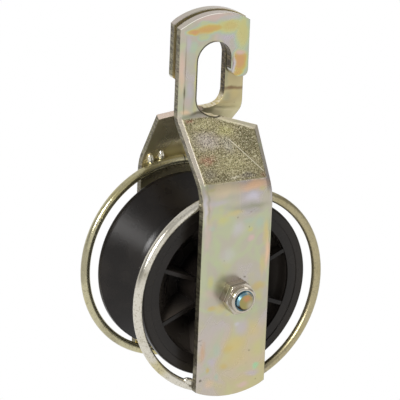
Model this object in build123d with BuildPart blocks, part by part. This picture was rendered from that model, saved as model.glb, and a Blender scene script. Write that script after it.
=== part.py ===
from build123d import *
import math
import os

os.makedirs("parts", exist_ok=True)

# Hook pulley block, in millimetres. The origin is the top of the slotted eye, where the block
# hangs. X runs across the cheeks, Y along the axle with the nut at the front (-Y), and Z is up.

# Driving dimensions: the flat bar, the axle and the two hook plates
bar_width = 50
bar_thickness = 5
axle_diameter = 12
cheek_spacing = 73

# The hook plates stand off the mid-plane. The rear one is a little higher, and twisted.
front_plate_gap = 1
rear_leg_gap = 0.2
rear_tip_gap = 2.5
rear_lift = 0.8

# Rounded-over strip that shearing leaves along the edges of the bar, deepest where it was bent
rollover_width = 3.8
strap_rollover = 0.5
shoulder_rollover = 1.5
hook_rollover = 0.8
cut_rollover_width = 4
cut_rollover_depth = 1.3

# Eye, hook tip and the crown of the hook plate
eye_width = 24
eye_height = 47
crown_rise = 18.8
crown_radius = 45
tip_drop = 24.8
tip_outer_corner = 3.5
# Straight edge left between the hook tip's two rounded corners
tip_flat = 2.5
# The cut under the tip stops this far short of the slot's foot
tip_cut_margin = 2

# Slanted shoulder: heights of its two bends, and how the free side is raised
shoulder_head = -46
shoulder_foot = -84.5
free_head_rise = 17.5
free_foot_drop = 3.3
head_bend_radius = 7
foot_bend_radius = 30
foot_end_radius = 59
face_stations = 6
shoulder_cut_drop = 12
shoulder_cut_slope = 37
shoulder_cut_lift = 0.5
shoulder_cut_reach = 15

# Sheave
sheave_diameter = 117.6
sheave_width = 58.8
groove_root_diameter = 74.4
groove_root_radius = 13
groove_side_angle = 42
groove_rim_radius = 2
rim_edge_radius = 1.6
dish_diameter = 94
dish_floor = 7
dish_wall_run = 14
dish_wall_draft = 1
dish_floor_margin = 9
dish_wall_radius = 6
dish_floor_radius = 3
dish_step_diameter = 106
dish_step_depth = 0.6
rib_count = 8
rib_thickness = 2.6
rib_recess = 1
hub_diameter = 43

# Guard ring and its weld beads
ring_wire = 6
ring_clearance = 3.2
ring_seat = 0.2
ring_headroom = 2.5
bead_length = 10
bead_width = 4.6
bead_height = 2.6
bead_inset = 1.4
bead_rise = 4.6
bead_lean = 18
foot_bead_rise = 2.6
outer_bead_offset = 19.5
inner_bead_offset = 12
edge_bead_overhang = 1.2

# Bearings
bearing_bore = 15
bearing_diameter = 35
bearing_width = 11
ball_diameter = 5.9
ball_count = 8
ball_clearance = 0.04
race_shoulder = 2
shield_thickness = 0.5
shield_inset = 0.3
shield_gap = 0.5
cage_band = 1.8
cage_width = 7.6
cage_clearance = 0.1

# Fits and running gaps
axle_fit = 0.05
side_gap = 0.05
hub_recess = 1

# Lock nut and bolt head
hex_across_flats = 19
hex_turn = 6
nut_height = 12
nut_hex_height = 8.4
nut_collar_diameter = 17.2
nut_collar_wall = 1
collar_edge_radius = 1.6
insert_height = 2.6
insert_lip = 0.8
bolt_overhang = 2.2
bolt_tip_chamfer = 1.2
head_height = 7.5
hex_chamfer = 1.1

# Sizes worked out from the driving dimensions
half_bar = bar_width / 2
tip_inner_corner = half_bar - eye_width / 2 - tip_outer_corner - tip_flat
inner_y = cheek_spacing / 2
strap_y = inner_y + bar_thickness
sheave_radius = sheave_diameter / 2
half_sheave = sheave_width / 2
ring_radius = sheave_radius + ring_clearance + ring_wire / 2
ring_y = inner_y - ring_wire / 2 + ring_seat
foot_radius = ring_radius + ring_wire / 2
axle_drop = ring_headroom + foot_radius - shoulder_foot
axle_radius = axle_diameter / 2
hub_y = half_sheave - hub_recess
bearing_y = hub_y - bearing_width / 2
pitch_radius = (bearing_bore + bearing_diameter) / 4
ball_radius = ball_diameter / 2
inner_shoulder = pitch_radius - race_shoulder
outer_shoulder = pitch_radius + race_shoulder
hex_radius = hex_across_flats / math.sqrt(3)

# Cuts run this far past what they cut, and turned shapes this far into what they join
clear = 5
overlap = 1

axle_point = (0, 0, -axle_drop)
axle_axis = Axis(axle_point, (0, 1, 0))
# Half section through the axle: first direction along the axle, second one outward
axle_section = Plane(origin=axle_point, x_dir=(0, 1, 0), z_dir=(1, 0, 0))
# Section across the axle, seen from the front
across_axle = Plane(origin=axle_point, x_dir=(1, 0, 0), z_dir=(0, -1, 0))


# Corners and corner radii of the bar seen from the side. The share grows from 0 on the hook leg's
# side of the shoulder to 1 on its free side, where the bar slants less, so the shoulder is warped.
# The gap is that between the mid-plane and the hook plate, and insets lower the outer face.
def cheek_band(share, gap, strap_inset, shoulder_inset, hook_inset):
    plate_y = gap + bar_thickness
    head = shoulder_head + free_head_rise * share
    foot = shoulder_foot - free_foot_drop * share
    slant = math.atan2(strap_y - plate_y, head - foot)
    shift = bar_thickness * math.tan(slant / 2)
    foot_shift = (strap_inset * math.cos(slant) - shoulder_inset) / math.sin(slant)
    head_shift = (hook_inset * math.cos(slant) - shoulder_inset) / math.sin(slant)
    low = -axle_drop - foot_radius - clear
    high = crown_rise + clear
    outer = [
        (strap_inset - strap_y, low),
        (strap_inset - strap_y, foot + foot_shift),
        (hook_inset - plate_y, head + head_shift),
        (hook_inset - plate_y, high),
    ]
    inner = [(-gap, high), (-gap, head - shift), (-inner_y, foot - shift), (-inner_y, low)]
    outer_radii = (0, foot_bend_radius - shoulder_inset, head_bend_radius + shoulder_inset, 0)
    inner_radii = (0, head_bend_radius + bar_thickness, foot_bend_radius - bar_thickness, 0)
    return outer + inner, outer_radii + inner_radii


# One cheek, seen from the front: its leg is at -X, its free shoulder and hook tip at +X. The lift
# raises all of it but the axle hole and the foot, and the gaps are those of the leg and the tip.
def cheek(lift, leg_gap, far_gap):
    hole_drop = axle_drop + lift
    full_face = half_bar - rollover_width
    steps = [2 * full_face * index / face_stations - full_face for index in range(face_stations + 1)]
    edge_insets = (strap_rollover, shoulder_rollover, hook_rollover)
    stations = [(-half_bar, edge_insets)] + [(x, (0, 0, 0)) for x in steps] + [(half_bar, edge_insets)]
    with BuildPart() as bent_bar:
        for x, insets in stations:
            along = (x + half_bar) / bar_width
            gap = leg_gap + (far_gap - leg_gap) * along
            corners, radii = cheek_band(along**2, gap, *insets)
            with BuildSketch(Plane.YZ.offset(x)):
                with BuildLine():
                    FilletPolyline(*corners, radius=radii, close=True)
                make_face()
        loft(ruled=True)

        # Outline from the front: crown, slotted eye, hook tip and the arc at the foot
        with BuildSketch(Plane.XZ) as outline:
            crown_side = crown_rise - crown_radius + math.sqrt(crown_radius**2 - half_bar**2)
            foot_end = -hole_drop - foot_radius
            foot_side = foot_end + foot_end_radius - math.sqrt(foot_end_radius**2 - half_bar**2)
            with BuildLine():
                Line((-half_bar, foot_side), (-half_bar, crown_side))
                ThreePointArc((-half_bar, crown_side), (0, crown_rise), (half_bar, crown_side))
                Line((half_bar, crown_side), (half_bar, foot_side))
                ThreePointArc((half_bar, foot_side), (0, foot_end), (-half_bar, foot_side))
            make_face()
            with Locations((0, -eye_height / 2)):
                SlotOverall(eye_height, eye_width, rotation=90, mode=Mode.SUBTRACT)
            with Locations((0, -tip_drop)):
                Rectangle(
                    bar_width,
                    eye_height - tip_drop - tip_cut_margin,
                    align=(Align.MIN, Align.MAX),
                    mode=Mode.SUBTRACT,
                )
            for corner_x, radius in ((eye_width / 2, tip_inner_corner), (half_bar, tip_outer_corner)):
                tip_corner = outline.vertices().sort_by_distance((corner_x, -tip_drop))[0]
                fillet(tip_corner, radius)
        extrude(amount=strap_y + clear, both=True, mode=Mode.INTERSECT)

        # The free shoulder is cut square to the slanted bar, falling away from the foot of the leg
        slope = math.radians(shoulder_cut_slope)
        plate_y = (leg_gap + far_gap) / 2 + bar_thickness
        cut_plane = Plane(
            origin=(0, -plate_y - bar_thickness / 2, shoulder_cut_lift - eye_height),
            x_dir=(1, 0, 0),
            z_dir=(0, -math.cos(slope), math.sin(slope)),
        )
        with BuildSketch(cut_plane):
            with BuildLine():
                Polyline(
                    (0, 0),
                    (half_bar + clear, -shoulder_cut_drop * (half_bar + clear) / half_bar),
                    (half_bar + clear, strap_y),
                    (0, strap_y),
                    close=True,
                )
            make_face()
        extrude(amount=shoulder_cut_reach, both=True, mode=Mode.SUBTRACT)

        # The cut's outer edge is rounded over as well: a sloping plane takes a strip off along it
        low_points = []
        for x, gap in ((0, (leg_gap + far_gap) / 2), (half_bar, far_gap)):
            share = ((x + half_bar) / bar_width) ** 2
            head = Vector(x, -gap - bar_thickness, shoulder_head + free_head_rise * share)
            foot = Vector(x, -strap_y, shoulder_foot - free_foot_drop * share)
            downhill = (foot - head).normalized()
            outward = downhill.cross(Vector(1, 0, 0))
            on_cut = cut_plane.from_local_coords((x, -shoulder_cut_drop * x / half_bar, 0))
            climb = (head - on_cut).dot(outward) / cut_plane.z_dir.dot(outward)
            edge_point = on_cut + cut_plane.z_dir * climb
            low_points.append(edge_point + downhill * cut_rollover_width)
        sunk_point = edge_point - outward * cut_rollover_depth
        along_cut = low_points[1] - low_points[0]
        strip_plane = Plane(
            origin=low_points[0], x_dir=along_cut, z_dir=along_cut.cross(sunk_point - low_points[0])
        )
        with BuildSketch(strip_plane):
            with Locations((0, -overlap)):
                Rectangle(
                    along_cut.length + clear, cut_rollover_width + clear, align=(Align.MIN, Align.MIN)
                )
        extrude(amount=clear, mode=Mode.SUBTRACT)

        # Axle hole
        with BuildSketch(Plane.XZ):
            with Locations((0, -hole_drop)):
                Circle(axle_radius + axle_fit)
        extrude(amount=strap_y + clear, mode=Mode.SUBTRACT)
    return bent_bar.part.moved(Location((0, 0, lift)))


# Guard ring in a front cheek: round wire, seated on the strap, with weld beads outside it at the top,
# where they lean into the bend, and inside it at the foot, one of them at the leg's edge
def guard_ring(cheek_part):
    with BuildPart() as weld_bead:
        Sphere(1)
        scale(by=(bead_width / 2, bead_length / 2, bead_height))
    top_places = (-outer_bead_offset, -inner_bead_offset, inner_bead_offset, outer_bead_offset)
    foot_places = (-half_bar - edge_bead_overhang, outer_bead_offset)
    welds = [(x, 1, bead_rise, (-bead_lean, 0, 0)) for x in top_places]
    welds += [(x, -1, -foot_bead_rise, (0, 0, 90)) for x in foot_places]
    with BuildPart() as wire_ring:
        with BuildSketch(axle_section):
            with Locations((-ring_y, ring_radius)):
                Circle(ring_wire / 2)
        revolve(axis=axle_axis)
        for x, end_sign, rise, bead_turn in welds:
            upward = end_sign * math.sqrt((ring_radius + rise) ** 2 - x**2)
            bead_plane = Plane(
                origin=(x, bead_inset - inner_y, upward - axle_drop),
                x_dir=(upward, 0, -x),
                z_dir=(0, -1, 0),
            )
            with Locations(bead_plane):
                add(weld_bead.part, rotation=bead_turn)
        add(cheek_part, mode=Mode.SUBTRACT)
    return wire_ring.part


front_bar = cheek(0, front_plate_gap, front_plate_gap)
with BuildPart() as front_cheek:
    add(front_bar)

with BuildPart() as front_guard_ring:
    add(guard_ring(front_bar))

# The rear cheek and ring are turned half a turn about the vertical
rear_bar = cheek(rear_lift, rear_leg_gap, rear_tip_gap)
with BuildPart() as rear_cheek:
    add(rear_bar, rotation=(0, 0, 180))

with BuildPart() as rear_guard_ring:
    add(guard_ring(rear_bar), rotation=(0, 0, 180))

front_cheek.part.label = "front_cheek"
export_step(front_cheek.part, "parts/front_cheek.step")
rear_cheek.part.label = "rear_cheek"
export_step(rear_cheek.part, "parts/rear_cheek.step")
front_guard_ring.part.label = "front_guard_ring"
export_step(front_guard_ring.part, "parts/front_guard_ring.step")
rear_guard_ring.part.label = "rear_guard_ring"
export_step(rear_guard_ring.part, "parts/rear_guard_ring.step")


# Corners of one dish in half section, on the side given by -1 or 1. A recess lowers its mouth, and
# a spread takes its other sides into the material around it.
def dish_corners(side, recess, spread):
    mouth = side * (half_sheave - recess)
    hub = hub_diameter / 2 - spread
    wall = dish_diameter / 2 + spread
    floor = side * (dish_floor - spread)
    return [
        (mouth, hub),
        (mouth, wall),
        (side * (half_sheave - dish_wall_run / 2), wall - dish_wall_draft),
        (floor, groove_root_diameter / 2 - dish_floor_margin),
        (floor, hub),
    ]


dish_radii = (0, 0, dish_wall_radius, dish_floor_radius, 0)


# Sheave: one moulding with a rope groove, two dishes, ribs and a bored hub
with BuildPart() as sheave:
    with BuildSketch(axle_section):
        with Locations((0, sheave_radius / 2)):
            Rectangle(sheave_width, sheave_radius)
    revolve(axis=axle_axis)
    rim_edges = sheave.edges().filter_by(GeomType.CIRCLE)
    fillet(rim_edges, rim_edge_radius)

    with BuildSketch(axle_section):
        half_angle = math.radians(groove_side_angle)
        groove_point = groove_root_diameter / 2 - groove_root_radius * (1 / math.sin(half_angle) - 1)
        half_groove = (sheave_radius - groove_point) * math.tan(half_angle)
        with BuildLine():
            FilletPolyline(
                (-half_groove, sheave_radius + clear),
                (-half_groove, sheave_radius),
                (0, groove_point),
                (half_groove, sheave_radius),
                (half_groove, sheave_radius + clear),
                radius=(0, groove_rim_radius, groove_root_radius, groove_rim_radius, 0),
                close=True,
            )
        make_face()
    revolve(axis=axle_axis, mode=Mode.SUBTRACT)

    for side in (-1, 1):
        with BuildSketch(axle_section):
            with BuildLine():
                FilletPolyline(*dish_corners(side, 0, 0), radius=dish_radii, close=True)
            make_face()
        revolve(axis=axle_axis, mode=Mode.SUBTRACT)
        with BuildSketch(axle_section):
            with Locations((side * half_sheave, dish_diameter / 4)):
                Rectangle(2 * dish_step_depth, dish_diameter / 2)
            with Locations((side * half_sheave, (dish_diameter + dish_step_diameter) / 4)):
                Rectangle(2 * dish_step_depth, (dish_step_diameter - dish_diameter) / 2)
        revolve(axis=axle_axis, mode=Mode.SUBTRACT)

    for index in range(rib_count):
        turn = math.radians((index + 0.5) * 360 / rib_count)
        rib_plane = Plane(origin=axle_point, x_dir=(0, 1, 0), z_dir=(math.cos(turn), 0, math.sin(turn)))
        for side in (-1, 1):
            with BuildSketch(rib_plane):
                with BuildLine():
                    FilletPolyline(*dish_corners(side, rib_recess, overlap), radius=dish_radii, close=True)
                make_face()
            extrude(amount=rib_thickness / 2, both=True)

    # Bearing seats from both hub faces, with a narrower bore between them
    with BuildSketch(axle_section):
        with Locations((0, outer_shoulder / 2)):
            Rectangle(sheave_width + clear, outer_shoulder)
        for side in (-1, 1):
            with Locations((side * (hub_y + clear / 2 - bearing_width / 2), bearing_diameter / 4)):
                Rectangle(bearing_width + clear, bearing_diameter / 2)
            with Locations((side * (hub_y + clear / 2), hub_diameter / 4)):
                Rectangle(clear, hub_diameter / 2)
    revolve(axis=axle_axis, mode=Mode.SUBTRACT)

sheave.part.label = "sheave"
export_step(sheave.part, "parts/sheave.step")


# Tube about the axle between two places along it
def tube(start, end, inside, outside):
    with BuildPart() as turned:
        with BuildSketch(axle_section):
            with Locations(((start + end) / 2, (inside + outside) / 2)):
                Rectangle(abs(end - start), outside - inside)
        revolve(axis=axle_axis)
    return turned.part


# Sleeve, spacers and collars on the bolt: they end a running gap short of the rear cheek
sleeve_radius = bearing_bore / 2
collar_radius = inner_shoulder - shield_gap
bearing_inner_end = hub_y - bearing_width
plain_tubes = {
    "axle_sleeve": tube(-inner_y, inner_y - side_gap, axle_radius + axle_fit, sleeve_radius),
    "bearing_spacer": tube(-bearing_inner_end, bearing_inner_end, sleeve_radius, collar_radius),
    "front_collar": tube(-inner_y, -hub_y, sleeve_radius, collar_radius),
    "rear_collar": tube(hub_y, inner_y - side_gap, sleeve_radius, collar_radius),
}
for name, solid in plain_tubes.items():
    solid.label = name
    export_step(solid, f"parts/{name}.step")

# Two shielded ball bearings, one in each hub face
race_radius = ball_radius + ball_clearance
shield_inner = inner_shoulder + shield_gap
for end_name, side in (("front", -1), ("rear", 1)):
    middle = side * bearing_y
    pieces = {}
    for ring_name, low, high in (
        ("inner_race", bearing_bore / 2, inner_shoulder),
        ("outer_race", outer_shoulder, bearing_diameter / 2),
    ):
        with BuildPart() as race:
            with BuildSketch(axle_section):
                with Locations((middle, (low + high) / 2)):
                    Rectangle(bearing_width, high - low)
                with Locations((middle, pitch_radius)):
                    Circle(race_radius, mode=Mode.SUBTRACT)
            revolve(axis=axle_axis)
        pieces[ring_name] = race.part

    with BuildPart() as cage:
        with BuildSketch(axle_section):
            with Locations((middle, pitch_radius)):
                Rectangle(cage_width, cage_band)
        revolve(axis=axle_axis)
        with Locations(Plane(origin=(0, middle, -axle_drop), x_dir=(1, 0, 0), z_dir=(0, -1, 0))):
            with PolarLocations(pitch_radius, ball_count):
                Cylinder(
                    ball_radius + cage_clearance, cage_band + clear, rotation=(0, 90, 0), mode=Mode.SUBTRACT
                )
    pieces["cage"] = cage.part

    shield_middle = bearing_width / 2 - shield_inset - shield_thickness / 2
    for face_name, face in (("outer", side), ("inner", -side)):
        place = middle + face * shield_middle
        pieces[f"{face_name}_shield"] = tube(
            place - shield_thickness / 2, place + shield_thickness / 2, shield_inner, outer_shoulder
        )

    for index in range(ball_count):
        turn = 2 * math.pi * index / ball_count
        ball_x = pitch_radius * math.cos(turn)
        ball_z = pitch_radius * math.sin(turn) - axle_drop
        with BuildPart() as ball:
            with Locations((ball_x, middle, ball_z)):
                Sphere(ball_radius)
        pieces[f"ball_{index + 1}"] = ball.part

    for piece_name, solid in pieces.items():
        solid.label = f"{end_name}_{piece_name}"
        export_step(solid, f"parts/{end_name}_{piece_name}.step")


# Hexagon about the axle with its corners rounded off in a cone at both ends
def hexagon_with_cones(start, end):
    with BuildPart() as hexagon:
        with BuildSketch(across_axle.offset(-start)):
            RegularPolygon(hex_radius, 6, rotation=hex_turn)
        extrude(amount=start - end)
        with BuildSketch(axle_section):
            low, high = min(start, end), max(start, end)
            with BuildLine():
                Polyline(
                    (low, 0),
                    (low, hex_radius - hex_chamfer),
                    (low + hex_chamfer / 2, hex_radius),
                    (high - hex_chamfer / 2, hex_radius),
                    (high, hex_radius - hex_chamfer),
                    (high, 0),
                    close=True,
                )
            make_face()
        revolve(axis=axle_axis, mode=Mode.INTERSECT)
    return hexagon.part


# Axle bolt: hexagon head outside the rear cheek, chamfered tip past the nut
bolt_tip = -strap_y - nut_height - bolt_overhang
head_face = strap_y + side_gap
with BuildPart() as axle_bolt:
    add(hexagon_with_cones(head_face, head_face + head_height))
    with BuildSketch(axle_section):
        with BuildLine():
            Polyline(
                (bolt_tip, 0),
                (bolt_tip, axle_radius - bolt_tip_chamfer),
                (bolt_tip + bolt_tip_chamfer, axle_radius),
                (head_face + overlap, axle_radius),
                (head_face + overlap, 0),
                close=True,
            )
        make_face()
    revolve(axis=axle_axis)

axle_bolt.part.label = "axle_bolt"
export_step(axle_bolt.part, "parts/axle_bolt.step")

# Lock nut: hexagon with a turned collar that is rolled over its plastic insert
nut_end = -strap_y - nut_height
collar_start = -strap_y - nut_hex_height
collar_radius_out = nut_collar_diameter / 2
insert_radius = collar_radius_out - nut_collar_wall
lip_radius = insert_radius - insert_lip
with BuildPart() as lock_nut:
    add(hexagon_with_cones(-strap_y, collar_start))
    with BuildSketch(axle_section):
        with BuildLine():
            FilletPolyline(
                (collar_start + overlap, 0),
                (collar_start + overlap, collar_radius_out),
                (nut_end, collar_radius_out),
                (nut_end, 0),
                radius=(0, 0, collar_edge_radius, 0),
                close=True,
            )
        make_face()
    revolve(axis=axle_axis)
    with BuildSketch(axle_section):
        with Locations((nut_end + nut_height / 2, (axle_radius + axle_fit) / 2)):
            Rectangle(nut_height + clear, axle_radius + axle_fit)
        with Locations((nut_end + nut_collar_wall + insert_height / 2, insert_radius / 2)):
            Rectangle(insert_height, insert_radius)
        with Locations((nut_end, lip_radius / 2)):
            Rectangle(2 * nut_collar_wall, lip_radius)
    revolve(axis=axle_axis, mode=Mode.SUBTRACT)

lock_nut.part.label = "lock_nut"
export_step(lock_nut.part, "parts/lock_nut.step")

insert_start = nut_end + nut_collar_wall
nut_insert = tube(insert_start, insert_start + insert_height, axle_radius + axle_fit / 2, insert_radius)
nut_insert.label = "nut_insert"
export_step(nut_insert, "parts/nut_insert.step")
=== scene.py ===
import math

import bpy
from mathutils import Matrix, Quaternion, Vector


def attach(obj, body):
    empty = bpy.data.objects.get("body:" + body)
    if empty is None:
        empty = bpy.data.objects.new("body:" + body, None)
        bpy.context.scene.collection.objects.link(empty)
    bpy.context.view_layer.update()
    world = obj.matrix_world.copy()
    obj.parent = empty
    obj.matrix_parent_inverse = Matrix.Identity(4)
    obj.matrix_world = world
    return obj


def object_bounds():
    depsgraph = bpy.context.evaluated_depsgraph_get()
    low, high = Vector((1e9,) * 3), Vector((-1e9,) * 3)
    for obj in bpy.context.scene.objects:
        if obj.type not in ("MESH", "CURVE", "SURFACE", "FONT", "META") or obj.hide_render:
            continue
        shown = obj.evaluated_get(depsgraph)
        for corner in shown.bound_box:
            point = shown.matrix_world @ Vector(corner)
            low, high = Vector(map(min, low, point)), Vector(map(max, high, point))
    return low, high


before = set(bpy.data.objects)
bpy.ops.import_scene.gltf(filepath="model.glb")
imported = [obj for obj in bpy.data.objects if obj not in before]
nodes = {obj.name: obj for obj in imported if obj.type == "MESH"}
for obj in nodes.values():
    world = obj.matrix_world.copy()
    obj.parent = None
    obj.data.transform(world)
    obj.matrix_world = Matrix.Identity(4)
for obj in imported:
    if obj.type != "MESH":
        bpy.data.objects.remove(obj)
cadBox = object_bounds()
print("frame loaded:", len(nodes), "nodes")


def shade(red, green, blue):
    # a screen colour, 0 to 255, as the linear colour that a shader takes
    def linear(level):
        part = level / 255
        return part / 12.92 if part < 0.04 else ((part + 0.055) / 1.055) ** 2.4
    return (linear(red), linear(green), linear(blue), 1.0)


def fill(tree, socket, item):
    # an item is a Value, a socket, a number, a vector or a colour
    if isinstance(item, Value):
        tree.links.new(item.socket, socket)
    elif isinstance(item, bpy.types.NodeSocket):
        tree.links.new(item, socket)
    else:
        socket.default_value = item


def combine(tree, operation, *items):
    maths = tree.nodes.new("ShaderNodeMath")
    maths.operation = operation
    for socket, item in zip(maths.inputs, items):
        fill(tree, socket, item)
    return Value(tree, maths.outputs[0])


class Value:
    # wraps a number socket, so that shader maths reads as plain maths
    def __init__(self, tree, socket):
        self.tree = tree
        self.socket = socket

    def __add__(self, other):
        return combine(self.tree, "ADD", self, other)

    def __radd__(self, other):
        return combine(self.tree, "ADD", other, self)

    def __sub__(self, other):
        return combine(self.tree, "SUBTRACT", self, other)

    def __rsub__(self, other):
        return combine(self.tree, "SUBTRACT", other, self)

    def __truediv__(self, other):
        return combine(self.tree, "DIVIDE", self, other)

    def __rtruediv__(self, other):
        return combine(self.tree, "DIVIDE", other, self)

    def __mul__(self, other):
        return combine(self.tree, "MULTIPLY", self, other)

    def __rmul__(self, other):
        return combine(self.tree, "MULTIPLY", other, self)

    def __pow__(self, other):
        return combine(self.tree, "POWER", self, other)

    def __rpow__(self, other):
        return combine(self.tree, "POWER", other, self)

    def __abs__(self):
        return combine(self.tree, "ABSOLUTE", self)

    def most(self, other):
        return combine(self.tree, "MAXIMUM", self, other)


softEdge = (0.15, 1.35)  # where a tint starts to fade and where it is gone, in parts of its reach


class Shading:
    # the nodes of one material, or of the world
    def __init__(self, tree, coordinates="Object", shift=(0, 0, 0)):
        self.tree = tree
        self.tree.nodes.clear()
        self.place = self.out("ShaderNodeTexCoord", {}, {}, coordinates)
        self.x, self.y, self.z = self.parts(self.place)
        self.moved = self.vector("ADD", self.place, shift)

    def node(self, kind, settings, inputs):
        made = self.tree.nodes.new(kind)
        for key, setting in settings.items():
            if key == "stops":
                while len(made.color_ramp.elements) < len(setting):
                    made.color_ramp.elements.new(0.5)
                for element, (position, colour) in zip(made.color_ramp.elements, setting):
                    element.position = position
                    element.color = colour
            elif key == "easing":
                made.color_ramp.interpolation = setting
            else:
                setattr(made, key, setting)
        shown = [socket for socket in made.inputs if socket.enabled]
        for key, item in inputs.items():
            socket = shown[key] if isinstance(key, int) else next(s for s in shown if s.name == key)
            fill(self.tree, socket, item)
        return made

    def out(self, kind, settings, inputs, output):
        made = self.node(kind, settings, inputs)
        return next(s for s in made.outputs if s.enabled and s.name == output)

    def parts(self, vector):
        apart = self.node("ShaderNodeSeparateXYZ", {}, {"Vector": vector})
        return [Value(self.tree, socket) for socket in apart.outputs]

    def vector(self, operation, *items):
        return self.out("ShaderNodeVectorMath", {"operation": operation}, dict(enumerate(items)), "Vector")

    def length(self, vector):
        settings = {"operation": "LENGTH"}
        return Value(self.tree, self.out("ShaderNodeVectorMath", settings, {0: vector}, "Value"))

    def noise(self, size, detail=3.0, rough=0.5, stretch=(1, 1, 1), warp=0.0):
        # 0 to 1, in patches about this many metres across
        where = self.vector("MULTIPLY", self.moved, tuple(part / size for part in stretch))
        inputs = {"Vector": where, "Scale": 1.0, "Detail": detail, "Roughness": rough, "Distortion": warp}
        return Value(self.tree, self.out("ShaderNodeTexNoise", {}, inputs, "Fac"))

    def wander(self, size, reach):
        # the place, pushed about by up to this reach, for ragged borders
        where = self.vector("MULTIPLY", self.moved, (1 / size, 1 / size, 1 / size))
        push = self.out("ShaderNodeTexNoise", {}, {"Vector": where, "Scale": 1.0, "Detail": 3.0}, "Color")
        centred = self.vector("SUBTRACT", push, (0.5, 0.5, 0.5))
        offset = self.vector("MULTIPLY", centred, (2 * reach, 2 * reach, 2 * reach))
        return self.vector("ADD", self.place, offset)

    def cells(self, size):
        # distance to the nearest of scattered points, in cell widths
        where = self.vector("MULTIPLY", self.moved, (1 / size, 1 / size, 1 / size))
        inputs = {"Vector": where, "Scale": 1.0}
        return Value(self.tree, self.out("ShaderNodeTexVoronoi", {}, inputs, "Distance"))

    def step(self, value, low, high, start=0.0, end=1.0):
        # smoothly from start to end as value goes from low to high
        inputs = {"Value": value, "From Min": low, "From Max": high, "To Min": start, "To Max": end}
        settings = {"interpolation_type": "SMOOTHSTEP"}
        return Value(self.tree, self.out("ShaderNodeMapRange", settings, inputs, "Result"))

    def blend(self, mask, under, over):
        settings = {"data_type": "RGBA", "clamp_factor": True}
        return self.out("ShaderNodeMix", settings, {"Factor": mask, "A": under, "B": over}, "Result")

    def ramp(self, value, stops):
        return self.out("ShaderNodeValToRGB", {"stops": stops, "easing": "EASE"}, {"Fac": value}, "Color")

    def near(self, where, x, z, across, up, strength=1.0):
        # a soft ellipse seen along Y, in millimetres: strength in the middle, 0 outside
        offset = self.vector("SUBTRACT", where, (x / 1000, 0, z / 1000))
        sized = self.vector("MULTIPLY", offset, (1000 / across, 0, 1000 / up))
        return self.step(self.length(sized), *softEdge, strength, 0.0)

    def spots(self, colour, where, places, palette):
        # each place is x, z, reach across, reach up, the tint's name and how strong it is
        for x, z, across, up, tint, strength in places:
            colour = self.blend(self.near(where, x, z, across, up, strength), colour, palette[tint])
        return colour

    def bump(self, height, depth, under=None):
        inputs = {"Height": height, "Distance": depth, "Strength": 1.0}
        if under is not None:
            inputs["Normal"] = under
        return self.out("ShaderNodeBump", {}, inputs, "Normal")

    def rounded(self, radius):
        return self.out("ShaderNodeBevel", {"samples": 6}, {"Radius": radius}, "Normal")

    def close(self, sockets):
        shader = self.out("ShaderNodeBsdfPrincipled", {}, sockets, "BSDF")
        self.node("ShaderNodeOutputMaterial", {}, {"Surface": shader})


def newFinish(name, shift=(0, 0, 0)):
    material = bpy.data.materials.new(name)
    material.use_nodes = True
    return material, Shading(material.node_tree, "Object", shift)


def distance(first, second):
    return (first * first + second * second) ** 0.5


axleHeight = -0.155


def aboutAxle(f):
    # how far above the axle, and how far out from it
    up = f.z - axleHeight
    return up, distance(f.x, up)


# Plated flat bar: thin iridescent film, a blotchy hot-bent shoulder, and dull sheared edges
bar = {
    "edgeRadius": 0.0006,
    "halfWidth": 0.025,
    "fullFace": 0.0212,  # half the width of the shoulder's face, between its rolled edges
    "slotRadius": 0.012,
    "slotMiddle": -0.0235,
    "slotStraight": 0.0115,
    "crownCentre": -0.0262,
    "crownRadius": 0.045,
    "footSlant": 0.021,  # how the speckled face's foot climbs across the bar
    "cutSlant": 0.31,
    "raggedness": 0.0030,
    "scratch": {"x": 0.0035, "z": -0.0592, "run": 0.682, "fall": 0.731},
    "metallic": 0.85,
    "roughness": 0.28,
    "relief": 0.00012,
    "film": {
        "base": shade(182, 176, 160), "tan": shade(158, 143, 108), "cream": shade(214, 198, 168),
        "peach": shade(228, 190, 156), "pink": shade(206, 178, 172), "lilac": shade(186, 177, 184),
        "pale": shade(198, 193, 203), "green": shade(180, 190, 150), "yellow": shade(194, 190, 128),
        "aqua": shade(170, 186, 168), "mint": shade(160, 202, 160), "gold": shade(202, 184, 126),
        "orange": shade(200, 154, 106), "amber": shade(198, 170, 90), "grey": shade(164, 160, 156),
        # this grey-olive tint serves smudges and painted shade, such as the nut's shadow on the strap
        "smudgeAndShade": shade(144, 145, 122), "dark": shade(84, 76, 54), "brown": shade(112, 84, 60),
    },
    "rough": {
        "base": shade(148, 139, 103), "olive": shade(178, 170, 127), "yellow": shade(182, 176, 120),
        "purple": shade(182, 171, 163), "grey": shade(172, 166, 152), "rust": shade(172, 122, 98),
        "dark": shade(114, 108, 78), "slate": shade(132, 124, 112), "brown": shade(124, 88, 58),
        "bright": shade(238, 232, 212), "speckLight": shade(228, 221, 194), "speckDark": shade(70, 62, 44),
    },
    "edge": {
        "dull": shade(128, 122, 100), "light": shade(206, 200, 184), "black": shade(58, 50, 38),
        "wall": shade(112, 100, 74), "lowWall": shade(236, 226, 200), "band": shade(232, 212, 198),
        "crown": shade(192, 182, 172), "inner": shade(206, 192, 142), "strip": shade(214, 204, 186),
        "cream": shade(194, 184, 154), "highlightLine": shade(248, 244, 236),
    },
}

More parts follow.
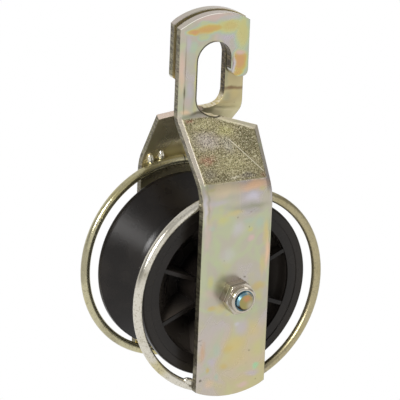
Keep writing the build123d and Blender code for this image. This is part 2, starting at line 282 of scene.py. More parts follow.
# Where each finish begins and where it is full, in metres
bar["starts"] = {
    "warm": (-0.168, -0.186),  # these lie up the bar
    "roughFoot": (-0.0815, -0.0808),
    "roughTop": (-0.0467, -0.0477),
    "bent": (-0.040, -0.044),
    "cut": (-0.0490, -0.0474),
    "stripFoot": (-0.083, -0.079),
    "stripTop": (-0.043, -0.047),
    "lowWall": (-0.036, -0.042),
    "rimFoot": (-0.040, -0.046),
    "crownFoot": (0.0, 0.004),
    "warmSide": (-0.022, 0.010),  # these across it
    "cutSide": (-0.0015, 0.0010),
    "cutFade": (0.016, 0.006),
    "stripSide": (0.0, -0.010),
    "rimSide": (0.004, -0.004),
    "lineSide": (0.009, 0.0),
    "roughEdge": (0.0014, 0.0008),  # out from the full face
    "strip": (0.0008, 0.0012),
    "side": (-0.00016, -0.00006),  # out from the bar's half width
    "lineEnd": (-0.0002, -0.0006),
    "wall": (0.0002, 0.0001),  # out from the slot
    "rimShade": (0.0011, 0.0007),
    "crown": (-0.0003, -0.0001),  # out from the crown's arc
    "highlightLine": (-0.0008, -0.0005),
    "scratchSide": (0.0004, 0.0001),  # beside and along the scratch
    "scratchTop": (-0.0005, 0.0005),
    "scratchFoot": (0.0262, 0.0255),
}

# Tints on the front cheek, in millimetres: x, z, reach across, reach up, tint, strength
bar["strapSpots"] = [
    (-9, -84.6, 16, 4.2, "cream", 1.0), (13, -84.8, 12, 3.6, "peach", 1.0),
    (-14.1, -88.4, 8, 2.4, "pink", 0.3), (-18, -83.6, 3, 1.2, "yellow", 0.5),
    # the dark line at x -20.9 and the pale band at x -23.2 are painted shade and a painted highlight along
    # the rolled left edge
    (-20.9, -93, 0.9, 11, "smudgeAndShade", 0.6), (-23.2, -94, 1.5, 14, "pale", 0.7),
    (23.7, -124, 0.35, 17, "brown", 0.6), (-14.5, -92.2, 8, 2.4, "lilac", 0.7),
    (10.7, -91.2, 5, 3.2, "pale", 0.8), (18, -87.5, 2.5, 1.6, "yellow", 0.5),
    (8, -97.6, 15, 3.4, "smudgeAndShade", 0.55), (13, -97.2, 8, 1.6, "smudgeAndShade", 0.5),
    (12.3, -101.1, 6.5, 2, "grey", 0.6), (-6, -96, 9, 2, "grey", 0.3),
    (-10.5, -104, 5.5, 3.6, "yellow", 0.75), (-3.2, -100.4, 8, 2.2, "gold", 0.5),
    (16.3, -109.2, 4.2, 4.4, "aqua", 0.8), (8.4, -106.5, 4.6, 2.8, "aqua", 0.6),
    (0.8, -111.3, 5.6, 5.6, "pale", 0.5), (9.5, -113.1, 2.2, 1.4, "yellow", 0.8),
    (10.7, -118.7, 2.8, 2.4, "pink", 0.8), (21.2, -117, 2.4, 9, "gold", 0.8),
    (22.6, -131, 2.2, 11, "peach", 0.8), (19.6, -138, 2.2, 9, "gold", 0.6),
    (-18.6, -108.2, 3, 1.8, "aqua", 0.7), (-15.2, -120.4, 4.4, 6, "green", 0.5),
    (-21, -114, 2.6, 7, "pink", 0.35), (-14.2, -132, 2.6, 2.4, "green", 0.6),
    (-6, -128, 6, 6, "pale", 0.35), (-18, -144.1, 2.4, 4.6, "yellow", 0.7),
    (17.2, -152.2, 5.4, 3.2, "amber", 0.55), (18.1, -158.4, 3, 4, "yellow", 0.6),
    # the dark tint left of the nut, at -9.5, -146.9, is the nut's painted shadow and painted reflection on
    # the strap
    (-19.1, -151.8, 5, 3.4, "pink", 0.35), (-9.5, -146.9, 4.4, 7.6, "smudgeAndShade", 0.4),
    (-15.8, -161.9, 3.4, 2, "amber", 0.6), (-9.5, -162.4, 5, 4, "gold", 0.6),
    (14.5, -166.9, 4.4, 3.4, "green", 0.5), (-4, -168, 3.4, 1.4, "yellow", 0.5),
    (6.1, -178, 5.6, 6.2, "lilac", 0.75), (3, -175.5, 2.4, 1.6, "pale", 0.6),
    (15.3, -180.9, 5, 5, "gold", 0.45), (18.4, -194.5, 5, 7, "yellow", 0.5),
    (1.6, -189.4, 9.4, 6, "gold", 0.7), (-3.3, -191.7, 4.2, 3, "amber", 0.4),
    (-11.1, -191.1, 3, 5.4, "aqua", 0.6), (-21.4, -191, 2.2, 8, "orange", 0.5),
    (-14.7, -198, 4, 3.2, "lilac", 0.8), (3, -199, 13, 6.4, "gold", 0.4),
    (-5.8, -202.7, 2.6, 3, "amber", 0.5), (17.9, -206.2, 2.4, 2.2, "mint", 0.9),
    (15.6, -210.5, 6, 2.8, "lilac", 0.7), (-18.1, -203.6, 1.7, 2.2, "amber", 0.6),
    (-10.1, -209.3, 1.8, 2.4, "aqua", 0.7), (8.9, -217.9, 5, 1.8, "pink", 0.8),
    (-16, -213, 4, 3, "peach", 0.35), (7.5, -143.5, 1.2, 0.7, "dark", 0.6),
    (-0.1, -103.5, 0.5, 0.5, "dark", 0.7), (8.3, -111.2, 0.5, 0.5, "dark", 0.6),
    (9.2, -101.7, 0.5, 0.5, "brown", 0.6), (12, -194.9, 0.6, 0.6, "dark", 0.9),
    (-22.4, -210.3, 0.9, 0.8, "dark", 0.85), (17.9, -215.6, 0.5, 0.4, "dark", 0.7),
    (-23.6, -182.6, 1.5, 0.3, "dark", 0.7),
]
bar["hookSpots"] = [
    (0, 16.6, 17, 2.4, "pink", 0.6), (9, 14.5, 8, 1.6, "lilac", 0.6), (-19.1, 1.6, 2.4, 6, "lilac", 0.8),
    (-10, 8.5, 9, 3, "orange", 0.5), (18.5, -13, 5, 5, "orange", 0.5), (7.2, 2.0, 8, 2.6, "lilac", 0.8),
    (18.6, -9, 4, 2.2, "pink", 0.9), (13.6, -17, 1.7, 7, "pale", 0.9), (-17, -29, 2.8, 7, "lilac", 0.8),
    (-17.5, -33, 2.6, 6, "pale", 0.4), (-18.5, -37.5, 3.6, 4.6, "pink", 0.6),
    (-12.8, -41.5, 2.4, 3.6, "yellow", 0.7), (-12.7, -24.6, 1.3, 20, "yellow", 0.8),
    (-23, -18, 2.2, 16, "peach", 0.45), (-22.8, -12, 1.8, 8, "pink", 0.4), (-16, -36, 9, 12, "grey", 0.4),
    # the two dark tints at -10, -44.4 and -3.2, -45, below the slot's foot, are painted shade in the crease
    # of the head bend
    (-10, -44.4, 9, 1.3, "dark", 0.7), (-3.2, -45, 4.2, 2.6, "dark", 0.95), (-20, -43, 4, 2, "peach", 0.6),
    (13, -15, 0.6, 7, "brown", 0.6),
]
# Fine dark lines down the front hook's leg: painted shade along the bend of its rolled left edge
bar["creases"] = [
    (-20.8, -12, 0.5, 16, "brown", 0.5), (-20.9, -30.5, 0.8, 5, "dark", 0.8),
    (-21, -40, 0.5, 6, "brown", 0.5),
]
# The rear hook, in its own cheek's measures
bar["rearSpots"] = [
    (18.5, -17, 11, 22, "tan", 0.8), (19, -40, 9, 7, "tan", 0.6), (22.5, -20, 2.4, 8, "cream", 0.3),
    (18, -34.4, 13, 1.6, "brown", 0.8), (20, -38, 3.4, 4, "gold", 0.35), (14, -40, 3, 3, "smudgeAndShade", 0.5),
    (13.2, -20, 1.8, 16, "smudgeAndShade", 0.7),
]
# The speckled face of either shoulder
bar["shoulderSpots"] = [
    (-10.3, -51, 9, 3.6, "olive", 0.9), (3.1, -54.7, 6, 3.6, "yellow", 0.9),
    (-10.8, -59.1, 10, 5.2, "purple", 0.95), (1.9, -62.2, 4.4, 5, "grey", 0.8),
    (15.6, -60.5, 8, 8, "dark", 0.85), (-15, -68.7, 6.4, 2.6, "rust", 0.85),
    (2, -72.2, 12, 5.4, "olive", 0.8), (-17, -76, 5, 3.4, "slate", 0.7),
    (9.5, -78.9, 6.6, 1.8, "slate", 0.9), (-8, -79, 8, 2.4, "dark", 0.5),
    (0.1, -79.2, 2.8, 1, "bright", 0.75), (20.4, -80, 2, 1.8, "brown", 0.9),
    (-17.5, -48.4, 3, 1, "rust", 0.8),
]

# Where the front hook's film is thicker: x, z, reach across, reach up, and how far along its order of tints
bar["filmOrder"] = [
    (-4, 9.4, 17, 5.4, 0.76), (-15, 8.4, 8, 3.2, 0.86), (10, 9.6, 20, 8.6, 0.63), (19.5, 4, 9, 20, 0.60),
    (18.5, -15, 9, 12, 0.84), (-8.4, 13.4, 7, 2.6, 0.48), (-16.5, -8, 5, 16, 0.27), (-15.5, -1, 6, 7, 0.38),
    (-8.2, 4.6, 7, 4.4, 0.50), (17, -22, 8, 4, 0.76),
]

# The rear cheek is the front one turned half round, a little higher, with its hook plate turned away
frontCheek = {
    "node": "front_cheek",
    "body": "front_frame",
    "finish": "frontPlatedBar",
    "tip": "frontHookTip",
    "turn": 1,
    "shift": (0.31, 0.12, 0.05),
    "lift": 0.0,
    "gap": 0.001,
    "gapGrowth": 0.0,
    "spots": bar["strapSpots"] + bar["hookSpots"],
    "creases": bar["creases"],
    "filmOrder": bar["filmOrder"],
}
rearCheek = {
    "node": "rear_cheek",
    "body": "rear_frame",
    "finish": "rearPlatedBar",
    "tip": "rearHookTip",
    "turn": -1,
    "shift": (-0.42, 0.77, 0.21),
    "lift": 0.0008,
    "gap": 0.0002,
    "gapGrowth": 0.0023,
    "spots": bar["rearSpots"],
    "creases": [],
    "filmOrder": [],
}


def thinFilm(f, cheek, across, height, facing, broad):
    # the film's colour drifts softly, with the stronger patches laid over it
    film, starts = bar["film"], bar["starts"]
    colour = f.blend(0.6, film["base"], f.ramp(broad, [
        (0.28, film["aqua"]), (0.38, film["lilac"]), (0.46, film["base"]),
        (0.54, film["green"]), (0.62, film["base"]), (0.72, film["pink"]),
    ]))
    colour = f.blend(f.step(f.noise(0.012), 0.55, 0.75) * 0.35, colour, film["yellow"])
    warm = f.step(height, *starts["warm"]) * f.step(across, *starts["warmSide"], 0.15, 0.5)
    colour = f.blend(warm, colour, film["gold"])
    colour = f.blend(f.step(facing, -0.3, -0.6) * 0.7, colour, bar["edge"]["inner"])
    ragged = f.wander(0.008, 0.0022)
    if cheek["filmOrder"]:
        thick = 0.0
        for x, z, reach, up, order in cheek["filmOrder"]:
            thick = f.near(ragged, x, z, reach, up, order).most(thick)
        tint = f.ramp(thick, [
            (0.0, film["base"]), (0.18, film["base"]), (0.34, film["aqua"]), (0.46, film["green"]),
            (0.57, film["yellow"]), (0.70, film["amber"]), (0.86, film["orange"]), (0.97, film["pink"]),
        ])
        colour = f.blend(f.step(thick, 0.12, 0.44) * 0.88, colour, tint)
    colour = f.spots(colour, ragged, cheek["spots"], film)
    if cheek["creases"]:
        colour = f.spots(colour, f.wander(0.003, 0.0002), cheek["creases"], film)
    return colour


def speckledFace(f, across, height, speckle):
    # the shoulder's hot-bent face, with its specks and its long scratch
    rough, starts, scratch = bar["rough"], bar["starts"], bar["scratch"]
    colour = f.spots(rough["base"], f.wander(0.004, 0.0022), bar["shoulderSpots"], rough)
    colour = f.blend(f.step(speckle, 0.52, 0.62), colour, rough["speckLight"])
    colour = f.blend(f.step(speckle, 0.50, 0.40), colour, rough["speckDark"])
    along = scratch["run"] * (across - scratch["x"]) - scratch["fall"] * (height - scratch["z"])
    aside = scratch["fall"] * (across - scratch["x"]) + scratch["run"] * (height - scratch["z"])
    mark = f.step(abs(aside), *starts["scratchSide"])
    mark = mark * f.step(along, *starts["scratchTop"]) * f.step(along, *starts["scratchFoot"])
    return f.blend(mark * 0.65, colour, rough["bright"])


def platedBar(cheek):
    material, f = newFinish(cheek["finish"], cheek["shift"])
    across = f.x * cheek["turn"]
    height = f.z - cheek["lift"]
    normal = f.parts(f.out("ShaderNodeTexCoord", {}, {}, "Normal"))
    facing = normal[1] * -cheek["turn"]  # 1 on the outer face, -1 on the inner one
    outer = f.step(facing, -0.1, 0.1)
    film, edge, starts = bar["film"], bar["edge"], bar["starts"]
    broad = f.noise(0.030, stretch=(1, 1, 0.7), warp=0.6)
    colour = thinFilm(f, cheek, across, height, facing, broad)

    # the speckled face, which the cut beside the slot's foot ends
    speckle = f.noise(0.0008, 5.0, 0.85, (1, 1, 0.8), 0.3)
    border = (speckle - 0.5) * bar["raggedness"]
    bent = f.step(height, *starts["bent"])
    shoulder = f.step(height + bar["footSlant"] * across + border, *starts["roughFoot"])
    shoulder = shoulder * f.step(height + border, *starts["roughTop"])
    shoulder = shoulder * f.step(abs(across) + border * 0.4 - bar["fullFace"], *starts["roughEdge"]) * outer
    cut = f.step(height + bar["cutSlant"] * across + border * 0.6, *starts["cut"])
    cut = cut * f.step(across, *starts["cutSide"]) * bent
    shoulder = shoulder * (1 - cut)
    colour = f.blend(shoulder, colour, speckledFace(f, across, height, speckle))

    # the shoulder's rolled edges, partly their plain plating and partly a painted highlight that is
    # strongest on the left; then the rear one's cut top and the front one's
    strip = f.step(abs(across) - bar["fullFace"], *starts["strip"]) * outer
    strip = strip * f.step(height, *starts["stripFoot"]) * f.step(height, *starts["stripTop"])
    strip = strip * f.step(across, *starts["stripSide"], 0.2, 1.0)
    stripColour = f.blend(f.step(speckle, 0.48, 0.40) * 0.5, edge["strip"], edge["black"])
    colour = f.blend(strip * 0.85, colour, stripColour)
    band = f.step(normal[2], 0.64, 0.70) * f.step(facing, -0.3, -0.4) * bent
    colour = f.blend(band * 0.9, colour, edge["band"])
    colour = f.blend(cut * outer * f.step(across, *starts["cutFade"], 0.45, 0.95), colour, edge["cream"])

    # slot wall, and painted shade on the outer face along the left and lower parts of its rounded rim
    rise = (abs(height - bar["slotMiddle"]) - bar["slotStraight"]).most(0.0)
    slot = distance(across, rise) - bar["slotRadius"]
    streak = f.noise(0.0012, 4.0, 0.7, (1, 0.25, 1))
    wall = f.step(slot, *starts["wall"])
    lowColour = f.blend(f.step(streak, 0.35, 0.60), film["gold"], edge["lowWall"])
    wallColour = f.blend(f.step(streak, 0.46, 0.60), edge["black"], edge["wall"])
    wallColour = f.blend(f.step(height, *starts["lowWall"]), wallColour, lowColour)
    # painted shade along the rim's left and lower parts
    rimShade = f.step(across, *starts["rimSide"]).most(f.step(height, *starts["rimFoot"]))
    colour = f.blend(rimShade * f.step(slot, *starts["rimShade"]) * outer * 0.9, colour, edge["black"])
    colour = f.blend(wall, colour, wallColour)

    # sheared sides, then the crown, with a painted highlight line along its front edge on the left
    inset = abs(across) - bar["halfWidth"]
    side = f.step(inset, *starts["side"])
    sideColour = f.blend(f.step(streak, 0.40, 0.58), edge["black"], edge["dull"])
    sideColour = f.blend(f.step(f.cells(0.0030), 0.10, 0.05), sideColour, edge["light"])
    colour = f.blend(side * 0.9, colour, sideColour)
    arc = distance(across, height - bar["crownCentre"]) - bar["crownRadius"]
    top = f.step(height, *starts["crownFoot"])
    crown = f.step(arc, *starts["crown"]) * top
    colour = f.blend(crown * 0.8, colour, edge["crown"])
    highlightLine = f.step(arc, *starts["highlightLine"]) * top * (1 - crown)
    highlightLine = highlightLine * f.step(f.x, *starts["lineSide"]) * f.step(inset, *starts["lineEnd"])
    colour = f.blend(highlightLine * 0.9, colour, edge["highlightLine"])
    pits = f.step(f.cells(0.009), 0.045, 0.02)
    colour = f.blend(pits * 0.7, colour, film["dark"])

    sheared = side.most(wall)
    grain = f.noise(0.0008, 3.0, 0.6, (1, 1, 0.35)) * 0.22
    texture = grain + speckle * shoulder * 3.2 + streak * sheared * 1.2
    f.close({
        "Base Color": colour,
        "Metallic": bar["metallic"],
        "Roughness": bar["roughness"] + (broad - 0.5) * 0.08 + shoulder * 0.24 + sheared * 0.14,
        "Normal": f.bump(texture, bar["relief"], f.rounded(bar["edgeRadius"])),
    })
    return material


# The last of each hook tip, which stops short in the CAD; open at its top, where it meets the tip
tip = {
    "top": -0.0112,
    "foot": -0.0248,
    "innerCorner": 0.007,
    "outerCorner": 0.0035,
    "thickness": 0.005,
    "rollover": 0.0008,
    "proud": 0.00002,
    "arcSteps": 10,
}


def hookTip(cheek, material):
    # columns across the tip, each with where the rounded foot lies
    name, body, turn, lift = cheek["tip"], cheek["body"], cheek["turn"], cheek["lift"]
    inner, outer, foot, proud = tip["innerCorner"], tip["outerCorner"], tip["foot"], tip["proud"]
    slotSide, edge, fullFace = bar["slotRadius"], bar["halfWidth"], bar["fullFace"]
    angles = [math.pi / 2 * index / tip["arcSteps"] for index in range(tip["arcSteps"] + 1)]
    columns = [(slotSide + inner * (1 - math.cos(a)), foot + inner * (1 - math.sin(a))) for a in angles]
    columns.append((fullFace, foot))
    columns += [(edge - outer * (1 - math.sin(a)), foot + outer * (1 - math.cos(a))) for a in angles]
    corners = []
    for x, low in columns:
        back = -cheek["gap"] - cheek["gapGrowth"] * (x + edge) / (2 * edge)
        fall = tip["rollover"] * max(x - fullFace, 0) / (edge - fullFace)
        front = back - tip["thickness"] - proud + fall
        if x == slotSide:
            x -= proud
        elif x == edge:
            x += proud
        for y, z in ((front, tip["top"]), (front, low), (back + proud, low), (back + proud, tip["top"])):
            corners.append((x * turn, y * turn, z + lift))
    faces = []
    for index in range(len(columns) - 1):
        here, there = 4 * index, 4 * index + 4
        for first, second in ((0, 1), (1, 2), (2, 3)):
            faces.append((here + first, here + second, there + second, there + first))
    last = len(corners) - 4
    faces.append((0, 3, 2, 1))
    faces.append((last, last + 1, last + 2, last + 3))
    mesh = bpy.data.meshes.new(name)
    mesh.from_pydata(corners, [], faces)
    mesh.materials.append(material)
    piece = bpy.data.objects.new(name, mesh)
    bpy.context.scene.collection.objects.link(piece)
    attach(piece, body)


for cheek in (frontCheek, rearCheek):
    finish = platedBar(cheek)
    nodes[cheek["node"]].data.materials[0] = finish
    hookTip(cheek, finish)
print("plated bars and hook tips finished")


# Plated wire rings, with their weld beads, the joint in the wire, and painted shade on their right side
ring = {
    "weldOutside": (0.0681, 0.0685),  # out from the axle, where the beads begin and are full
    "weldInside": (0.0619, 0.0615),
    "joint": -0.0035,
    "jointEdge": (0.0005, 0.0003),
    "shadedRightSide": (0.005, 0.035),
    "metallic": 0.9,
    "roughness": 0.17,
    "relief": 0.0001,
    "silver": shade(208, 203, 190),
    "olive": shade(186, 180, 148),
    "gold": shade(188, 176, 118),
    "shadedBrass": shade(166, 154, 112),
    "dull": shade(128, 120, 98),
    "weld": shade(222, 218, 206),
    "black": shade(30, 26, 22),
}


def platedWire(name, turn, shift, base):
    material, f = newFinish(name, shift)
    broad = f.noise(0.040)
    colour = f.blend(f.step(broad, 0.54, 0.70) * 0.8, base, ring["gold"])
    colour = f.blend(f.step(broad, 0.46, 0.34) * 0.5, colour, ring["dull"])
    mottle = f.noise(0.0016, 4.0, 0.7)
    colour = f.blend(f.step(mottle, 0.53, 0.66) * 0.6, colour, ring["dull"])
    # darker, duller brass and rougher to the right: painted shade
    right = f.step(f.x, *ring["shadedRightSide"]) * 0.85
    colour = f.blend(right, colour, f.blend(f.step(mottle, 0.45, 0.65) * 0.5, ring["shadedBrass"], ring["dull"]))
    up, radius = aboutAxle(f)
    weld = f.step(radius, *ring["weldOutside"]).most(f.step(radius, *ring["weldInside"]))
    colour = f.blend(weld * 0.8, colour, ring["weld"])
    joint = f.step(abs(f.x * turn - ring["joint"]), *ring["jointEdge"]) * f.step(up, 0.0, 0.001)
    colour = f.blend(joint, colour, ring["black"])
    lumps = f.noise(0.0022, 2.0, 0.6) * weld
    texture = f.noise(0.0010, 3.0, 0.6) * 0.35 + mottle * 0.35 + lumps * 9.0
    f.close({
        "Base Color": colour,
        "Metallic": ring["metallic"],
        "Roughness": ring["roughness"] + (mottle - 0.4) * 0.3 + right * 0.14,
        "Normal": f.bump(texture, ring["relief"]),
    })
    return material


frontWire = platedWire("frontPlatedWire", 1, (0.1, 0.2, 0.3), ring["silver"])
rearWire = platedWire("rearPlatedWire", -1, (0.5, 0.1, -0.3), ring["olive"])
nodes["front_guard_ring"].data.materials[0] = frontWire
nodes["rear_guard_ring"].data.materials[0] = rearWire
print("guard rings finished")


# Black moulded sheave
moulding = {
    "black": shade(20, 17, 15),
    "worn": shade(30, 26, 23),
    "flange": shade(40, 36, 32),
    "dish": shade(66, 60, 54),
    "dishShade": shade(33, 30, 28),
    "lint": shade(130, 126, 118),
    "faceY": (0.0284, 0.0286),  # out along the axle, where the flanges' faces begin
    "dishY": (0.0276, 0.0272),
    "flangeRadius": (0.047, 0.0588),
    "dishRadius": (0.0473, 0.047),
    "deepRadius": (0.0215, 0.041),
    "deepSide": (0.004, -0.030),
    "edgeRadius": 0.0004,
    "roughness": 0.27,
    "specular": 0.24,
    "relief": 0.00008,
}


def blackMoulding(name):
    material, f = newFinish(name)
    broad = f.noise(0.026)
    colour = f.blend(f.step(broad, 0.40, 0.65), moulding["black"], moulding["worn"])
    up, radius = aboutAxle(f)
    # the flange faces are a lighter grey, which fades towards the dish as painted shade
    flange = f.step(abs(f.y), *moulding["faceY"]) * f.step(radius, *moulding["flangeRadius"], 0.2, 1.0)
    colour = f.blend(flange, colour, moulding["flange"])

    # the dish and its ribs, which lie inside the flange and face along the axle or towards it, painted
    # lighter near the rim and on the left and darker towards the hub and the right, as painted light and
    # shade
    normal = f.parts(f.out("ShaderNodeTexCoord", {}, {}, "Normal"))
    outward = (f.x * normal[0] + up * normal[2]) / radius
    inside = f.step(radius, *moulding["dishRadius"]) * f.step(outward, 0.35, 0.2)
    inside = inside * f.step(abs(f.y), *moulding["dishY"])
    paintedShading = f.step(radius, *moulding["deepRadius"]) * f.step(f.x, *moulding["deepSide"], 0.35, 1.0)
    colour = f.blend(inside, colour, f.blend(paintedShading, moulding["dishShade"], moulding["dish"]))
    lint = f.step(f.cells(0.010), 0.035, 0.015)
    colour = f.blend(lint * 0.6, colour, moulding["lint"])
    grain = f.noise(0.0007, 3.0, 0.6)
    f.close({
        "Base Color": colour,
        "Metallic": 0.0,
        "Roughness": moulding["roughness"] + (broad - 0.5) * 0.10,
        "Specular IOR Level": moulding["specular"],
        "Normal": f.bump(grain * 0.4, moulding["relief"], f.rounded(moulding["edgeRadius"])),
    })
    return material


nodes["sheave"].data.materials[0] = blackMoulding("blackMoulding")
print("sheave finished")


# Nut, bolt and the metal inside
small = {
    "nut": shade(196, 189, 176),
    "warm": shade(160, 144, 122),
    "inner": shade(190, 190, 190),
    # the next three are the nut's painted highlight on top, its painted highlight line, and its painted
    # shade
    "topHighlight": shade(224, 211, 194),
    "highlightLine": shade(250, 246, 238),
    "groove": shade(64, 50, 40),
    "olive": shade(156, 146, 94),
    "salmon": shade(186, 138, 100),
    "ash": shade(176, 168, 146),
    "teal": shade(112, 146, 158),
    # the gap colour is painted shade on the bolt's chamfer
    "gap": shade(44, 38, 32),
    "insert": shade(150, 190, 204),
    "insertDark": shade(84, 130, 150),
    "highlightEdge": -0.0466,  # where the nut's flats end, along the axle
    "highlightWidth": (0.0003, 0.0001),
    "pastHighlight": (0.0001, -0.0001),
    "shadeOffset": 0.0006,
    "shadeWidth": (0.0004, 0.0002),
    "flatRadius": (0.0088, 0.0091),
    "shadedSide": (-0.004, -0.009),
    "litTop": (0.004, 0.008),
    "boltTip": (-0.0516, -0.0518),
    "boltChamfer": (0.0044, 0.0050),
    "boltSpots": [(0.6, -152.8, 3.0, 2.6, "salmon", 1.0), (3.2, -157.6, 3.0, 3.4, "ash", 1.0)],
    "tealSlant": 0.4,
    "tealAbove": (-0.0010, 0.0015),
    "ashRight": (-0.0005, 0.0025),
    "edgeRadius": 0.0003,
    "metallic": 0.95,
    "relief": 0.00006,
    "hidden": ("sleeve", "spacer", "collar", "race", "shield", "cage", "ball"),
}


def boltEnd(f, tint, up, radius):
    face = f.spots(small["olive"], f.place, small["boltSpots"], small)
    # teal above a slanting line, and painted shade below it on the chamfer's lower left
    side = f.blend(f.step(up - small["tealSlant"] * f.x, *small["tealAbove"]), small["gap"], small["teal"])
    side = f.blend(f.step(f.x, *small["ashRight"]), side, small["ash"])
    face = f.blend(f.step(radius, *small["boltChamfer"]), face, side)
    return f.blend(f.step(f.y, *small["boltTip"]), tint, face)


def nutEdges(f, tint, up, radius):
    # painted shade on the left and a painted highlight on top; its flats end in a painted highlight line,
    # with a painted shade line on the chamfer past it
    tint = f.blend(f.step(f.x, *small["shadedSide"]) * 0.45, tint, small["groove"])
    tint = f.blend(f.step(up, *small["litTop"]) * 0.7, tint, small["topHighlight"])
    past = f.y - small["highlightEdge"]
    flats = f.step(radius, *small["flatRadius"])
    tint = f.blend(f.step(past, *small["pastHighlight"]) * 0.6, tint, small["nut"])
    paintedShading = f.step(abs(past + small["shadeOffset"]), *small["shadeWidth"]) * flats
    tint = f.blend(paintedShading * 0.8, tint, small["groove"])
    # a painted highlight line where the flats end
    worn = f.step(abs(past), *small["highlightWidth"]) * flats
    return f.blend(worn * 0.9, tint, small["highlightLine"])


def brightSteel(name, colour, roughness, shift, detail=None):
    # detail adds what only one piece has
    material, f = newFinish(name, shift)
    tint = f.blend(f.step(f.noise(0.005), 0.46, 0.60) * 0.7, colour, small["warm"])
    up, radius = aboutAxle(f)
    if detail:
        tint = detail(f, tint, up, radius)
    grain = f.noise(0.0006, 3.0, 0.6)
    f.close({
        "Base Color": tint,
        "Metallic": small["metallic"],
        "Roughness": roughness + (grain - 0.5) * 0.10,
        "Normal": f.bump(grain * 0.5, small["relief"], f.rounded(small["edgeRadius"])),
    })
    return material


def insertPlastic(name):
    material, f = newFinish(name)
    broad = f.noise(0.004, 2.0)
    colour = f.blend(f.step(broad, 0.35, 0.65), small["insertDark"], small["insert"])
    f.close({"Base Color": colour, "Metallic": 0.0, "Roughness": 0.30 + broad * 0.1})
    return material


innerSteel = brightSteel("innerSteel", small["inner"], 0.18, (0.3, 0.3, 0.3))
for name, node in nodes.items():
    if any(part in name for part in small["hidden"]):
        node.data.materials[0] = innerSteel
nodes["lock_nut"].data.materials[0] = brightSteel("nutSteel", small["nut"], 0.20, (0, 0, 0), nutEdges)
nodes["axle_bolt"].data.materials[0] = brightSteel("boltSteel", small["nut"], 0.36, (0.1, 0.6, 0.2), boltEnd)
nodes["nut_insert"].data.materials[0] = insertPlastic("insertPlastic")
print("small metal finished")


# Camera, where the photograph was taken from
view = {
    "aim": (-0.00282, 0.0, -0.10568),
    "azimuth": 31.198,
    "elevation": 20.274,
    "distance": 2.3048,
    "roll": 2.37,
    "lens": 330.07,
    "clip": (0.1, 100),
}


def placeCamera():
    azimuth = math.radians(view["azimuth"])
    elevation = math.radians(view["elevation"])
    back = Vector((
        -math.sin(azimuth) * math.cos(elevation),
        -math.cos(azimuth) * math.cos(elevation),
        math.sin(elevation),
    ))
    data = bpy.data.cameras.new("photoCamera")
    data.lens = view["lens"]
    data.clip_start, data.clip_end = view["clip"]
    camera = bpy.data.objects.new("photoCamera", data)
    camera.location = Vector(view["aim"]) + back * view["distance"]
    camera.rotation_mode = "QUATERNION"
    roll = Quaternion((0, 0, 1), math.radians(view["roll"]))
    camera.rotation_quaternion = (-back).to_track_quat("-Z", "Y") @ roll
    bpy.context.scene.collection.objects.link(camera)
    bpy.context.scene.camera = camera


placeCamera()
bpy.context.scene.view_settings.view_transform = "Standard"
print("camera placed")


# Floor, world and soft lamps
studio = {
    "floorDrop": 0.12,
    "floorReach": 60.0,
    "floorColour": (0.86, 0.86, 0.86, 1.0),
    "white": (1.0, 1.0, 1.0, 1.0),
    "sky": 0.50,
    "lowSky": 0.95,
    "rightDim": 0.65,
    "leftDim": 0.55,
    "backGlow": 0.30,
    "topGlow": 0.20,
    "skyUp": (0.05, 0.45),  # parts of the way to each side, where the change begins and where it is full
    "rightFrom": (0.55, 0.95),
    "rightLevel": (0.45, 0.15),
    "leftFrom": (-0.45, -0.85),
    "leftLevel": (0.5, 0.15),
    "backFrom": (0.3, 0.8),
    "backLevel": (0.1, 0.3),
    "topFrom": (0.80, 0.92),
    "lampAim": (0, 0, -0.12),
    "overLeft": {"place": (-1.58, -0.90, 0.81), "size": (0.72, 0.66), "power": 34},
    "overRight": {"place": (1.5, 0.15, 1.5), "size": (0.9, 0.9), "power": 10},
}


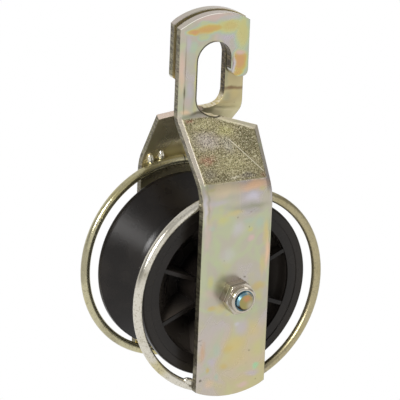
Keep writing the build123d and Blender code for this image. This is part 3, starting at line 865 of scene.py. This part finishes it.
def layFloor():
    # below the block and wide, white to the camera and in metal, and pale in the light that it throws back
    bottom = cadBox[0].z - studio["floorDrop"]
    reach = studio["floorReach"]
    mesh = bpy.data.meshes.new("floor")
    corners = [(x * reach, y * reach, bottom) for x, y in ((-1, -1), (1, -1), (1, 1), (-1, 1))]
    mesh.from_pydata(corners, [], [(0, 1, 2, 3)])
    floor = bpy.data.objects.new("floor", mesh)
    bpy.context.scene.collection.objects.link(floor)
    material, f = newFinish("paleFloor")
    rays = f.node("ShaderNodeLightPath", {}, {}).outputs
    camera = Value(f.tree, rays["Is Camera Ray"])
    glossy = Value(f.tree, rays["Is Glossy Ray"])
    through = Value(f.tree, rays["Is Transmission Ray"])
    white = f.out("ShaderNodeEmission", {}, {"Color": studio["white"], "Strength": 1.0}, "Emission")
    paint = f.out("ShaderNodeBsdfDiffuse", {}, {"Color": studio["floorColour"]}, "BSDF")
    seen = camera.most(glossy).most(through)
    mixed = f.out("ShaderNodeMixShader", {}, {0: seen, 1: paint, 2: white}, "Shader")
    f.node("ShaderNodeOutputMaterial", {}, {"Surface": mixed})
    mesh.materials.append(material)


def hangWorld():
    # brighter low down and behind, dimmer to the left and right, which darkens the edges of the plating
    world = bpy.data.worlds.new("studio")
    bpy.context.scene.world = world
    world.use_nodes = True
    f = Shading(world.node_tree, "Generated")
    right = f.step(f.x, *studio["rightFrom"]) * f.step(abs(f.z), *studio["rightLevel"])
    left = f.step(f.x, *studio["leftFrom"]) * f.step(abs(f.z), *studio["leftLevel"])
    behind = f.step(f.y, *studio["backFrom"]) * f.step(f.z, *studio["backLevel"])
    above = f.step(f.z, *studio["topFrom"])
    sky = f.step(f.z, *studio["skyUp"], studio["lowSky"], studio["sky"])
    sky = sky - right * studio["rightDim"] - left * studio["leftDim"]
    sky = sky + behind * studio["backGlow"] + above * studio["topGlow"]
    glow = f.out("ShaderNodeBackground", {}, {"Color": studio["white"], "Strength": sky}, "Background")
    f.node("ShaderNodeOutputWorld", {}, {"Surface": glow})


def hangLamp(name):
    data = bpy.data.lights.new(name, "AREA")
    data.shape = "RECTANGLE"
    data.size, data.size_y = studio[name]["size"]
    data.energy = studio[name]["power"]
    lamp = bpy.data.objects.new(name, data)
    lamp.location = studio[name]["place"]
    lamp.rotation_mode = "QUATERNION"
    lamp.rotation_quaternion = (Vector(studio["lampAim"]) - lamp.location).to_track_quat("-Z", "Y")
    bpy.context.scene.collection.objects.link(lamp)


layFloor()
hangWorld()
hangLamp("overLeft")
hangLamp("overRight")
print("studio lit")
